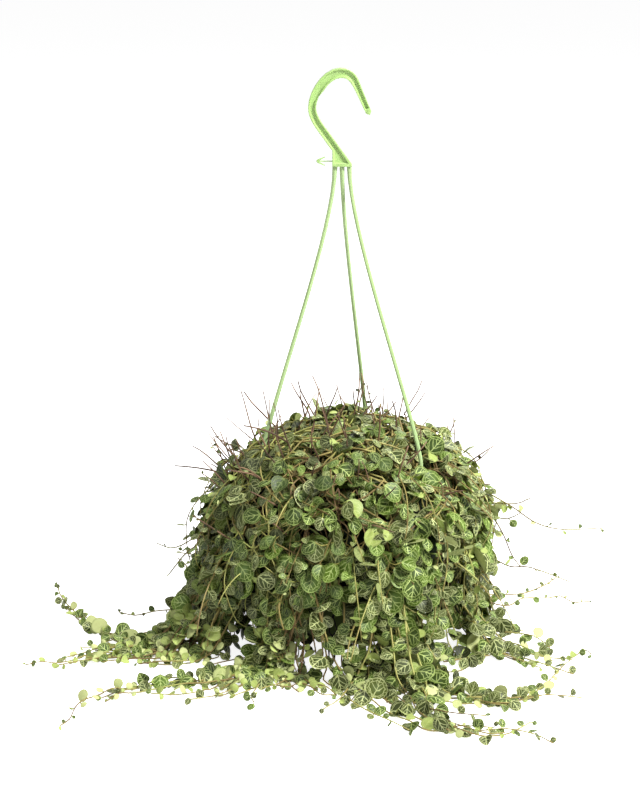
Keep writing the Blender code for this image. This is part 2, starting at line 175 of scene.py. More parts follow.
leafSheet = {
    "cells": 6,
    "reach": 1.2,  # of a cell's half, in leaf radii
    "oldCells": [(0.003, 0.005, 0.001, 1), (0.086, 0.11, 0.02, 1)],
    "freshCells": [(0.003, 0.008, 0.001, 1), (0.088, 0.148, 0.017, 1)],
    "oldVeins": [(0.012, 0.016, 0.005, 1), (0.565, 0.615, 0.272, 1)],
    "freshVeins": [(0.014, 0.022, 0.005, 1), (0.505, 0.61, 0.212, 1)],
    "paintedSheen": (0.19, 0.255, 0.13, 1),
    "edge": (0.23, 0.34, 0.045, 1),
    "young": [(0.08, 0.125, 0.012, 1), (0.362, 0.436, 0.122, 1)],
    "under": [(0.07, 0.1, 0.012, 1), (0.515, 0.56, 0.24, 1)],
    "wander": 0.42,
    "veins": [  # from, to and half-width, on a leaf of radius 1 with its stalk at y = -1
        ((0, -1.0, 0), (0, 0.95, 0), 0.068),
        ((0, -1.0, 0), (0.72, -0.18, 0), 0.053),
        ((0, -0.26, 0), (0.62, 0.32, 0), 0.051),
        ((0, 0.24, 0), (0.36, 0.64, 0), 0.042),
    ],
    "ring": 0.74,  # radius of the vein that joins the others' ends
    "spokes": 9.0,
}


def drawVeins(tree, inLeaf, scaled):
    # Where the veins are, from 0 to 1, and the distance from the leaf's middle as the veins see it
    wander = addNode(tree, "TexNoise", {"Vector": scaled, "Scale": 3.4, "Detail": 2.0}).outputs["Color"]
    wander = vectorCalc(tree, "SUBTRACT", wander, (0.5, 0.5, 0.5))
    bent = vectorCalc(tree, "ADD", inLeaf, vectorCalc(tree, "SCALE", wander, leafSheet["wander"]))
    parts = addNode(tree, "SeparateXYZ", {0: bent})
    x, y = calc(tree, "ABSOLUTE", parts.outputs[0]), parts.outputs[1]
    bow = times(tree, times(tree, x, x), 0.3)
    half = addNode(tree, "CombineXYZ", {0: x, 1: minus(tree, y, bow), 2: 0.0}).outputs[0]
    veins = 0.0
    for start, end, width in leafSheet["veins"]:
        line = useGroup(tree, veinLine, {"Place": half, "From": start, "To": end, "Width": width})
        veins = calc(tree, "MAXIMUM", veins, line.outputs[0])
    radius = vectorCalc(tree, "LENGTH", bent, output="Value")
    angle = times(tree, calc(tree, "ARCTAN2", x, plus(tree, y, 0.1)), leafSheet["spokes"])
    scalloped = plus(tree, radius, times(tree, calc(tree, "COSINE", angle), 0.045))
    ring = calc(tree, "ABSOLUTE", minus(tree, scalloped, leafSheet["ring"]))
    veins = calc(tree, "MAXIMUM", veins, blend(tree, ring, 0.01, 0.05, 0.75, 0.0))
    spokes = blend(tree, calc(tree, "ABSOLUTE", calc(tree, "SINE", angle)), 0.06, 0.31, 0.7, 0.0)
    spokes = times(tree, spokes, blend(tree, radius, 0.7, 0.77))
    return calc(tree, "MAXIMUM", veins, spokes), radius


def makeLeafMaterial():
    material, tree, shader = newMaterial(
        "waxy leaf", Coat_Weight=0.04, Coat_Roughness=0.3, Specular_IOR_Level=0.14)
    uv = addNode(tree, "UVMap", uv_map="OFBake").outputs[0]
    count = leafSheet["cells"]
    reach = 2 * leafSheet["reach"]
    scaled = vectorCalc(tree, "MULTIPLY", uv, (count, count, 0))
    cell = vectorCalc(tree, "FLOOR", scaled)
    inLeaf = vectorCalc(tree, "SUBTRACT", vectorCalc(tree, "SUBTRACT", scaled, cell), (0.5, 0.5, 0))
    inLeaf = vectorCalc(tree, "MULTIPLY", inLeaf, (reach, reach, 0))
    veins, radius = drawVeins(tree, inLeaf, scaled)
    rim = vectorCalc(tree, "LENGTH", inLeaf, output="Value")
    veins = calc(tree, "MAXIMUM", veins, blend(tree, rim, 0.91, 0.98, 0.0, 0.7))

    chance = addNode(tree, "TexWhiteNoise", {"Vector": cell}, noise_dimensions="3D").outputs["Value"]
    places = addNode(tree, "SeparateXYZ", {0: cell})
    row = places.outputs[1]
    light = calc(tree, "POWER", calc(tree, "DIVIDE", places.outputs[0], count - 1.0), 1.4)
    isFresh = calc(tree, "GREATER_THAN", row, 1.5)
    isBold = calc(tree, "MODULO", row, 2.0)
    isPlain = calc(tree, "GREATER_THAN", row, 3.5)
    isUnder = calc(tree, "GREATER_THAN", row, 4.5)

    def eitherTone(choice, tone, low, high):
        return mixColour(
            tree, choice, mixColour(tree, tone, *leafSheet[low]), mixColour(tree, tone, *leafSheet[high]))

    mottle = blend(tree, noiseValue(tree, scaled, 13.0, 3.0, 0.6), 0.3, 0.7)
    tone = times(tree, light, plus(tree, times(tree, mottle, 0.3), 0.7))
    flesh = eitherTone(isFresh, tone, "oldCells", "freshCells")
    veinTone = eitherTone(isFresh, light, "oldVeins", "freshVeins")
    # Painted sheen: a pale highlight toward the middle of lighter leaves, at random strength
    paintedSheen = times(tree, times(tree, chance, light), blend(tree, radius, 0.05, 0.7, 0.65, 0.0))
    flesh = mixColour(tree, paintedSheen, flesh, leafSheet["paintedSheen"])
    flesh = mixColour(tree, times(tree, isBold, 0.42), flesh, leafSheet["oldCells"][0])
    edge = times(tree, times(tree, isFresh, light), blend(tree, radius, 0.66, 0.86, 0.0, 0.5))
    veinTone = mixColour(tree, edge, veinTone, leafSheet["edge"])
    strength = plus(tree, 0.74, times(tree, chance, 0.16))
    strength = plus(tree, strength, times(tree, isBold, 0.14), clamp=True)
    patterned = mixColour(tree, times(tree, veins, strength), flesh, veinTone)
    plain = eitherTone(isUnder, light, "young", "under")
    plain = mixColour(tree, blend(tree, rim, 0.8, 1.0, 0.0, 0.35), plain, leafSheet["young"][0])
    plain = mixColour(tree, times(tree, veins, 0.34), plain, leafSheet["under"][1])
    rough = plus(tree, plus(tree, 0.36, times(tree, mottle, 0.14)), times(tree, isUnder, 0.15))
    shade = mixColour(tree, isPlain, patterned, plain)
    fillInputs(tree, shader, {"Base Color": shade, "Roughness": rough})
    addBump(tree, shader, minus(tree, times(tree, mottle, 0.06), veins), 0.00012, 0.5)
    return material


# Painted shade inside the foliage: 1 near its surface, where stems keep their colour, 0 in its depth, where
# they are painted dark
foliageShade, ins, outs = newGroup("painted foliage shade", [("Place", "Vector")], [("Light", "Float")])
low = vectorCalc(foliageShade, "ADD", ins.outputs[0], (0, 0, -0.035))
low = vectorCalc(foliageShade, "MULTIPLY", low, (10.1, 10.1, 9.7))
low = vectorCalc(foliageShade, "MAXIMUM", low, (-9, -9, 0))
deep = vectorCalc(foliageShade, "LENGTH", low, output="Value")
foliageShade.links.new(blend(foliageShade, deep, 0.8, 0.97), outs.inputs[0])


def makeStemMaterial(name, colours, patchScale=22.0, roughness=0.5):
    # Stems run through three colours in patches, with a fine grain, and have painted shade: darker inside the
    # foliage
    material, tree, shader = newMaterial(name, Specular_IOR_Level=0.2)
    patch, grain = coverUneven(tree, shader, patchScale, 900.0, roughness - 0.1, 0.2)
    ramp = addNode(tree, "ValToRGB", {0: patch})
    stops = ramp.color_ramp.elements
    stops.new(0.5)
    for stop, colour in zip(stops, colours):
        stop.color = colour
    shade = mixColour(tree, times(tree, grain, 0.35), ramp.outputs[0], (0.03, 0.02, 0.01, 1))
    light = useGroup(tree, foliageShade, {"Place": objectPlace(tree)}).outputs[0]
    # Painted shade: the stem colour is darkened towards the depth of the foliage
    shade = mixColour(tree, times(tree, minus(tree, 1.0, light), 0.82), shade, (0.006, 0.005, 0.002, 1))
    fillInputs(tree, shader, {"Base Color": shade})
    addBump(tree, shader, grain, 0.0002, 0.5)
    return material


leafFinish = makeLeafMaterial()
stemFinish = makeStemMaterial(
    "brown stem", [(0.095, 0.055, 0.022, 1), (0.215, 0.175, 0.05, 1), (0.31, 0.32, 0.085, 1)])
runnerFinish = makeStemMaterial(
    "tan stem", [(0.15, 0.09, 0.038, 1), (0.33, 0.265, 0.088, 1), (0.42, 0.435, 0.13, 1)])
petioleFinish = makeStemMaterial(
    "petiole", [(0.26, 0.18, 0.055, 1), (0.34, 0.37, 0.08, 1), (0.41, 0.46, 0.13, 1)], 60.0)
spikeFinish = makeStemMaterial(
    "flower spike", [(0.075, 0.046, 0.03, 1), (0.16, 0.095, 0.058, 1), (0.27, 0.17, 0.095, 1)], 45.0, 0.65)
rootFinish = makeStemMaterial(
    "dry root", [(0.01, 0.008, 0.005, 1), (0.03, 0.02, 0.012, 1), (0.06, 0.042, 0.022, 1)], 120.0, 0.8)
print("finishes made")


# One leaf, modelled at radius 1 with its stalk end at y = -1, then copied

leafShapes = {
    "sides": 16,
    "innerRing": 0.6,
    "thickness": 0.11,
    "kinds": [  # how far the middle rises, the halves fold up and the tip curls down
        (0.2, 0.0, 0.12), (0.08, 0.2, 0.08), (-0.05, 0.06, -0.06), (0.14, -0.14, 0.28), (0.02, 0.55, 0.12),
    ],
    "shares": (4, 3, 2, 2, 3),
    "plainShares": (1, 4, 1, 2, 6),
    "sharpFrom": 62,  # degrees
}


def outlineReach(turn):
    # Radius of the outline at this turn from the tip
    tip = 0.11 * math.exp(-((turn / 0.4) ** 2))
    notch = 0.05 * math.exp(-(((math.pi - abs(turn)) / 0.35) ** 2))
    return 1 + tip - notch


def setMode(mode):
    bpy.ops.object.mode_set(mode=mode)


def mergeClose(threshold):
    # Goes into edit mode, selects all and makes near points one
    setMode("EDIT")
    bpy.ops.mesh.select_all(action="SELECT")
    bpy.ops.mesh.remove_doubles(threshold=threshold)


def makeLeafShape(dome, fold, curl):
    sides = leafShapes["sides"]
    bpy.ops.object.select_all(action="DESELECT")
    bpy.ops.mesh.primitive_circle_add(vertices=sides, radius=1.0, fill_type="TRIFAN")  # the underside
    obj = bpy.context.object
    mesh = obj.data
    next(v for v in mesh.vertices if v.co.length < 0.01).co.z = -1
    setMode("EDIT")
    bpy.ops.mesh.select_all(action="DESELECT")
    bpy.ops.mesh.primitive_circle_add(vertices=sides, radius=1.0, fill_type="NGON")
    bpy.ops.mesh.inset(thickness=1 - leafShapes["innerRing"])
    bpy.ops.mesh.poke()
    mergeClose(0.001)
    bpy.ops.mesh.quads_convert_to_tris()
    setMode("OBJECT")
    underMiddle = next(v.index for v in mesh.vertices if v.co.z < -0.5)
    for vertex in mesh.vertices:
        place = vertex.co
        reach = outlineReach(math.atan2(place.x, place.y))
        x, y = place.x * reach, place.y * reach
        far = min(1.0, math.hypot(x, y))
        z = dome * (1 - far * far) + fold * abs(x) - curl * max(0.0, y) ** 2
        if vertex.index == underMiddle:
            z = min(dome, 0.0) - leafShapes["thickness"]
        vertex.co = (x, y, z)
    setMode("EDIT")
    bpy.ops.mesh.normals_make_consistent(inside=False)
    setMode("OBJECT")
    points = np.array([v.co for v in mesh.vertices])
    corners = np.array([list(p.vertices) for p in mesh.polygons])
    shape = {
        "points": points,
        "corners": corners,
        "isUnder": (corners == underMiddle).any(axis=1),
        "flat": 0.5 + 0.5 * points[:, :2] / leafSheet["reach"],
    }
    bpy.data.objects.remove(obj)
    return shape


shapes = [makeLeafShape(*kind) for kind in leafShapes["kinds"]]
print("leaf shapes made")


def linkObject(name, data):
    obj = bpy.data.objects.new(name, data)
    bpy.context.scene.collection.objects.link(obj)
    return obj


def selectOnly(obj):
    bpy.ops.object.select_all(action="DESELECT")
    obj.select_set(True)
    bpy.context.view_layer.objects.active = obj


def ridePiece(obj, material, replaced=()):
    obj.data.materials.clear()
    obj.data.materials.append(material)
    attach(obj, "root")
    if replaced:
        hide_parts(*replaced)


def layLeaves(name, leaves, replaced=()):
    points, corners, sheet = [], [], []
    start = 0
    for index, shape in enumerate(shapes):
        chosen = [leaf for leaf in leaves if leaf["shape"] == index]
        if not chosen:
            continue
        base, along, out, side, size, tops, unders = (
            np.array([leaf[key] for leaf in chosen], float)
            for key in ("base", "along", "out", "side", "size", "top", "under"))
        own = shape["points"]
        across = own[None, :, 0:1] * side[:, None, :]
        ahead = (own[None, :, 1:2] + 1) * along[:, None, :]
        above = own[None, :, 2:3] * out[:, None, :]
        points.append((base[:, None, :] + size[:, None, None] * (across + ahead + above)).reshape(-1, 3))
        count = len(own)
        offsets = start + count * np.arange(len(chosen))
        corners.append((shape["corners"][None] + offsets[:, None, None]).reshape(-1, 3))
        start += count * len(chosen)
        cells = np.where(shape["isUnder"][None, :, None], unders[:, None, :], tops[:, None, :])
        flat = shape["flat"][shape["corners"]]
        sheet.append(((cells[:, :, None, :] + flat[None]) / leafSheet["cells"]).reshape(-1, 2))
    mesh = bpy.data.meshes.new(name)
    mesh.from_pydata(np.concatenate(points), [], np.concatenate(corners))
    layer = mesh.uv_layers.new(name="OFBake")
    layer.data.foreach_set("uv", np.concatenate(sheet).astype(np.float32).ravel())
    mesh.shade_smooth()
    mesh.set_sharp_from_angle(angle=math.radians(leafShapes["sharpFrom"]))
    ridePiece(linkObject(name, mesh), leafFinish, replaced)


def drawTubes(name, routes, material, replaced=(), sides=4):
    # Each route is a list of (point, radius); its tube has capped ends
    curve = bpy.data.curves.new(name, "CURVE")
    curve.dimensions = "3D"
    curve.bevel_depth = 1.0
    curve.bevel_resolution = (sides - 4) // 2
    curve.use_fill_caps = True
    for route in routes:
        spline = curve.splines.new("POLY")
        spline.points.add(len(route) - 1)
        spline.points.foreach_set("co", [c for point, _ in route for c in (*point, 1.0)])
        spline.points.foreach_set("radius", [radius for _, radius in route])
    selectOnly(linkObject(name, curve))
    bpy.ops.object.convert(target="MESH")
    obj = bpy.context.object
    mergeClose(0.000001)
    bpy.ops.mesh.normals_make_consistent(inside=False)
    setMode("OBJECT")
    ridePiece(obj, material, replaced)


def smoothRoute(points, pace):
    # A curve through the points, with a point about every pace mm
    points = [Vector(point) for point in points]
    ends = [2 * points[0] - points[1]] + points + [2 * points[-1] - points[-2]]
    route = []
    for a, b, c, d in zip(ends, ends[1:], ends[2:], ends[3:]):
        count = max(1, round((c - b).length / pace))
        for i in range(count):
            t = i / count
            bend = (2 * a - 5 * b + 4 * c - d) * t * t + (3 * b - a - 3 * c + d) * t ** 3
            route.append(0.5 * (2 * b + (c - a) * t + bend))
    return route + [points[-1]]


# The mound of foliage

mound = {
    "profile": [  # radius and height of the stems' surface in mm, from the crown's middle to the hem
        (0, 138), (26, 138), (45, 134), (59, 126), (73, 114), (83, 97), (89, 76), (92, 54), (95, 32),
        (96, 14), (95, 2),
    ],
    "pace": 2.0,
    "lean": 11.0,  # how far the lower part stands over to the left
    "lumps": 6.0,
    "dents": [  # direction in degrees, mm down the surface, depth and reach in mm
        (318.5, 67, 8, 13), (198.5, 64, -5, 14), (105, 22, -6, 16), (168, 62, 5, 22),
    ],
    "hem": [  # direction in degrees and height in mm of the lower edge
        (0, 4), (30, 6), (60, 8), (90, 8), (120, 8), (150, 8), (180, 8), (200, 3), (213, 4), (217, 24),
        (230, 26), (234, 8), (247, 10), (251, 46), (257, 57), (270, 57), (276, 44), (282, 14), (298, 10),
        (302, 34), (307, 58), (324, 60), (329, 34), (334, 6),
    ],
}
mound["line"] = smoothRoute(mound["profile"], mound["pace"])
mound["length"] = mound["pace"] * (len(mound["line"]) - 1)


def awayAt(angle):
    return Vector((math.cos(angle), math.sin(angle), 0))


def moundPlace(walked, angle, under=0.0):
    # Point and outward direction, walked mm down the surface from the crown's middle
    line = mound["line"]
    step = min(max(walked / mound["pace"], 1.0), len(line) - 2.01)
    i = int(step)
    r, z = line[i].lerp(line[i + 1], step - i)
    slope = (line[i + 1] - line[i - 1]).normalized()
    around = awayAt(angle)
    out = (up * slope.x - around * slope.y).normalized()
    swell = mound["lumps"] * noise.noise(Vector((3.4 * around.x, 3.4 * around.y, z / 30)))
    swell -= mound["lean"] * around.x * math.exp(-(((z - 48) / 32) ** 2))
    for direction, reached, depth, reach in mound["dents"]:
        aside = r * math.remainder(angle - math.radians(direction), math.tau)
        swell -= depth * math.exp(-((aside ** 2 + (walked - reached) ** 2) / reach ** 2))
    return around * r + up * z + out * (swell - under), out


def hemHeight(angle):
    angles, heights = zip(*mound["hem"])
    return float(np.interp(math.degrees(angle), angles, heights, period=360))


def anyDirection(rng):
    return Vector([rng.gauss(0, 1) for _ in range(3)]).normalized()


def randomTurn(rng, fromTurn, toTurn):
    return math.radians(rng.uniform(fromTurn, toTurn))


def eachOf(zones):
    # The facts of every zone, as often as its first number says
    for count, *facts in zones:
        for _ in range(count):
            yield facts


# How the leaves of one part of the plant look: the chances of a fresh, a boldly veined and a plain leaf, how
# much darker a plain top is, the chance of a turned-over leaf, how light tops and undersides are from 0 to 1,
# and the radius in mm. How light a part is holds its own tone and partly painted light, such as the crown's
# lighter top.
lookKeys = ("fresh", "bold", "plain", "mute", "turned", "light", "under", "radius")
looks = {
    "curtain": (0.45, 0.4, 0.06, 0.15, 0.03, 0.56, 0.05, 6.7),
    "drape": (0.45, 0.5, 0.06, 0.2, 0.03, 0.92, 0.1, 5.6),
    "crown": (0.25, 0.5, 0.09, 0.25, 0.05, 1.08, 0.3, 4.6),
    "loose": (0.5, 0.5, 0.08, 0.2, 0.03, 0.8, 0.1, 5.6),
    "skirt": (0.3, 0.4, 0.08, 0.2, 0.03, 0.86, 0.1, 5.0),
    "runner": (0.4, 0.85, 0.16, 0.15, 0.12, 0.85, 0.8, 6.2),
    # Pale leaves, partly painted light: their paleness stands in for light shining through them
    "paleRunner": (0.6, 0.7, 0.4, 0.2, 0.2, 1.0, 0.9, 5.7),
    "shoot": (0.6, 0.6, 0.35, 0.2, 0.2, 0.9, 0.9, 3.0),
    "arch": (0.4, 0.6, 0.16, 0.4, 0.06, 1.2, 0.8, 4.1),
    "sprig": (0.3, 0.5, 0.05, 0.1, 0.2, 0.4, 0.4, 2.1),
}
looks = {name: dict(zip(lookKeys, values)) for name, values in looks.items()}


leafGrowth = {
    "sizeSpread": 0.25,
    "largest": 1.4,
    "widths": (0.88, 1.1),
    "plainSize": 0.8,
    "toneSpread": 0.9,  # in columns of the leaf sheet
    "clear": 0.4,  # mm over the table
}


def growLeaf(rng, foot, lean, stalk, along, out, look, scale, light, fresh=0.0, darkest=0):
    # A leaf on its stalk, in mm: foot is on the stem, lean is the stalk's way, along runs to the leaf's tip
    out = out.normalized()
    along = (along - along.dot(out) * out).normalized()
    if rng.random() < look["turned"]:
        out = -out
    side = along.cross(out)
    size = look["radius"] * scale
    size *= min(leafGrowth["largest"], math.exp(rng.gauss(0, leafGrowth["sizeSpread"])))
    wide = rng.uniform(*leafGrowth["widths"])
    isPlain = rng.random() < look["plain"]
    shape = rng.choices(range(len(shapes)), leafShapes["plainShares" if isPlain else "shares"])[0]
    top = look["light"]
    if isPlain:
        size *= leafGrowth["plainSize"]
        top -= look["mute"]
        row = 4
    else:
        row = (1 if rng.random() < look["bold"] else 0) + (2 if rng.random() < look["fresh"] + fresh else 0)
    base = foot + lean.normalized() * stalk
    heights = shapes[shape]["points"] @ np.array((side.z * wide, along.z, out.z)) + along.z
    lowest = size * float(heights.min())
    base = base + up * max(0.0, leafGrowth["clear"] - base.z - lowest)
    columns, lightest = [], leafSheet["cells"] - 1
    for value in (top, look["under"]):
        column = round(lightest * (value + light) + rng.gauss(0, leafGrowth["toneSpread"]))
        columns.append(min(lightest, max(darkest, column)))
    middle = foot.lerp(base, 0.5) + up * (-0.2 * stalk)
    route = [(foot, 0.42), (middle, 0.36), (base + along * 0.14 * size, 0.4)]
    leaf = {
        "base": base * mm, "along": along, "out": out, "side": side * wide, "size": size * mm,
        "shape": shape, "top": (columns[0], row), "under": (columns[1], 5), "lowest": base.z + lowest,
    }
    return leaf, [(point * mm, radius * mm) for point, radius in route]


curtains = {
    "sectors": 12,
    "firstEdge": 78.5,  # direction in degrees
    "layers": [  # stems a sector, mm under the surface from and to, mm between leaves, how light (painted shade, darker for deeper layers), how gapped
        (4, 18, 27, 9, -1.0, 0.0), (8, 10, 18, 9.5, -0.74, 0.2), (8, -4, 4, 9.5, 0.26, 0.48),
    ],
    "starts": (20, 28, 38, 50, 66, 84, 110),
    "shortfalls": (0, 0, 0, 0, 30, 60),
    "stemRadius": 0.6,
    "gapSize": 13,
    "hemTop": 50,  # below it no leaf gets the darkest column, the deepest painted shade
}


def growHangingStem(rng, angle, start, end, depth, step, look, light=0.0, sway=16, gaps=0.0):
    # A stem that follows the mound down, with leaves to both sides but none where there is a gap
    seed = Vector((rng.uniform(0, 90), rng.uniform(0, 90), 0))
    route, grown = [], []
    walked, side, pace = start, rng.choice((-1, 1)), 4.0
    sinceLeaf = rng.uniform(0, step)
    while walked < end:
        drift = noise.noise(seed + Vector((walked / 45, 0, 0)))
        lift = noise.noise(seed + Vector((walked / 28, 7, 0)))
        curl = noise.noise(seed + Vector((walked / 17, 0, 9)))
        radius = max(18.0, moundPlace(walked, angle)[0].xy.length)
        turned = angle + (sway * drift + 7 * curl) / radius
        point, out = moundPlace(walked, turned, depth + 6 * lift)
        if point.z < hemHeight(turned) and route:
            break
        share = (walked - start) / max(1.0, end - start)
        route.append((point * mm, curtains["stemRadius"] * (1.1 - 0.5 * share) * mm))
        walked += pace
        sinceLeaf += pace
        isGap = noise.noise(point / curtains["gapSize"]) > 0.5 - gaps
        if sinceLeaf <= step or len(route) < 2 or isGap:
            continue
        sinceLeaf = rng.uniform(-0.3, 0.3) * step
        down = (point - route[-2][0] / mm).normalized()
        across = down.cross(out).normalized() * side
        wild = 0.42 if rng.random() < 0.6 else 1.1
        lean = out * rng.uniform(0.2, 1.0) + across * rng.uniform(0.4, 1.0) + down * 0.3
        blade = down * 0.5 - up * 0.6 + across * 0.45 + anyDirection(rng) * wild
        high = min(1.0, max(0.0, (point.z - 105) / 28))
        face = out + up * 0.2 + awayAt(turned) * 0.2 * high
        face += anyDirection(rng) * wild * 1.1

        # Painted light and shade: leaves lighter to the right, where the key lamp falls, darker high on the
        # left, and lighter near the hem
        low = min(1.0, max(0.0, (62 - point.z) / 40))
        tone = light + (0.34 if out.x > 0 else 0.16 - 0.26 * low) * out.x + 0.05 * low
        nearHem = point.z < curtains["hemTop"]
        # Near the hem the painted shade is kept from its darkest
        if nearHem:
            tone = max(tone, -0.22)
        scale = (1 - 0.18 * high) * (1 - 0.3 * share ** 3) * (0.94 + 0.14 * out.x - 0.06 * out.y)
        leaf, stalk = growLeaf(
            rng, point, lean, rng.uniform(3.0, 9.0), blade, face, look, scale, tone,
            -0.4 * out.y - 0.25 * abs(out.x), 1 if nearHem else 0)
        if leaf["lowest"] > hemHeight(turned) - 6:
            grown.append((leaf, stalk))
        side = -side
    return route, grown


class Growth:
    # Stems, and leaves with their stalks, gathered for one part of the plant
    def __init__(self):
        self.stems, self.grown = [], []

    def add(self, stem, grown):
        if len(stem) > 2:
            self.stems.append(stem)
            self.grown += grown

    def build(self, name, stemMaterial, replaced=(), sides=4):
        leaves, stalks = zip(*self.grown)
        layLeaves(name + "_leaves", leaves, replaced)
        drawTubes(name + "_stems", self.stems, stemMaterial, sides=sides)
        drawTubes(name + "_stalks", stalks, petioleFinish)
        print(name, "grown with", len(leaves), "leaves")


def makeCurtains():
    width = 360 / curtains["sectors"]
    for sector in range(curtains["sectors"]):
        rng = random.Random(100 + sector)
        growth = Growth()
        edge = math.radians(curtains["firstEdge"] + width * sector)
        for count, shallow, deep, step, light, gaps in curtains["layers"]:
            for i in range(count):
                angle = edge + math.radians(width) * (i + rng.random()) / count
                start = rng.choice(curtains["starts"]) + rng.uniform(-8, 8)
                end = mound["length"] - rng.choice(curtains["shortfalls"]) - rng.uniform(0, 8)
                depth = rng.uniform(shallow, deep)
                growth.add(*growHangingStem(
                    rng, angle, start, end, depth, step, looks["curtain"], light, gaps=gaps))
        name = f"curtain_{sector + 1:02d}"
        growth.build(name, stemFinish, ["foliage_" + name])


def spreadTurn(i):
    # Turns that come out even all round, whatever their number
    return math.tau * i * 0.618


crown = {
    "stems": [  # how many, mm down the surface at their start and end, mm under it, mm between leaves
        (110, (3, 50), (56, 96), (-2, 10), 4.5), (18, (1, 6), (30, 46), (-3, 3), 3.5),
    ],
}


def makeCrown():
    rng = random.Random(7)
    growth = Growth()
    for count, *ranges, step in crown["stems"]:
        for i in range(count):
            start, end, depth = (rng.uniform(*limits) for limits in ranges)
            growth.add(*growHangingStem(rng, spreadTurn(i), start, end, depth, step, looks["crown"]))
    growth.build("crown", runnerFinish, ["foliage_crown"])


looseStems = {
    "count": 90,
    "brownShare": 0.45,
    "skirt": [  # how many, directions from and to in degrees
        (30, 186, 215), (6, 234, 247), (8, 283, 300), (26, 334, 420), (30, 60, 186),
    ],
    "hay": [  # the same and mm down the surface from and to
        (26, -45, 45, 20, 110), (12, -34, 8, 80, 120), (24, 150, 260, 20, 90), (16, 0, 360, 5, 40),
    ],
}


def makeLooseStems():
    # Long stems with few leaves, which lie on top of the others
    rng = random.Random(23)
    brown, tan = Growth(), Growth()
    length = mound["length"]
    for i in range(looseStems["count"]):
        start = rng.uniform(20, 110)
        end = min(start + rng.uniform(45, 110), length - rng.uniform(0, 12))
        depth, step = rng.uniform(-8, -2), rng.uniform(16, 34)
        grown = growHangingStem(
            rng, spreadTurn(i), start, end, depth, step, looks["loose"], sway=70, gaps=0.43)
        (brown if rng.random() < looseStems["brownShare"] else tan).add(*grown)
    for turns in eachOf(looseStems["skirt"]):
        angle = randomTurn(rng, *turns)
        start, end = rng.uniform(84, 120), length - rng.uniform(0, 9)
        depth, step = rng.uniform(-2, 7), rng.uniform(7, 12)
        brown.add(*growHangingStem(rng, angle, start, end, depth, step, looks["skirt"]))
    for fromTurn, toTurn, *starts in eachOf(looseStems["hay"]):
        start, angle = rng.uniform(*starts), randomTurn(rng, fromTurn, toTurn)
        end, depth = start + rng.uniform(40, 90), rng.uniform(-7, -1)
        tan.add(*growHangingStem(rng, angle, start, end, depth, 40, looks["skirt"], sway=90))
    brown.build("loose_brown", stemFinish)
    tan.build("loose_tan", runnerFinish)


makeCurtains()
makeCrown()
makeLooseStems()


# Runners on the table. Routes are (x, y) in mm, from under the mound's edge to the tip. The number in stems
# says how many run side by side on each route, but those whose numbers are in thin have only one.

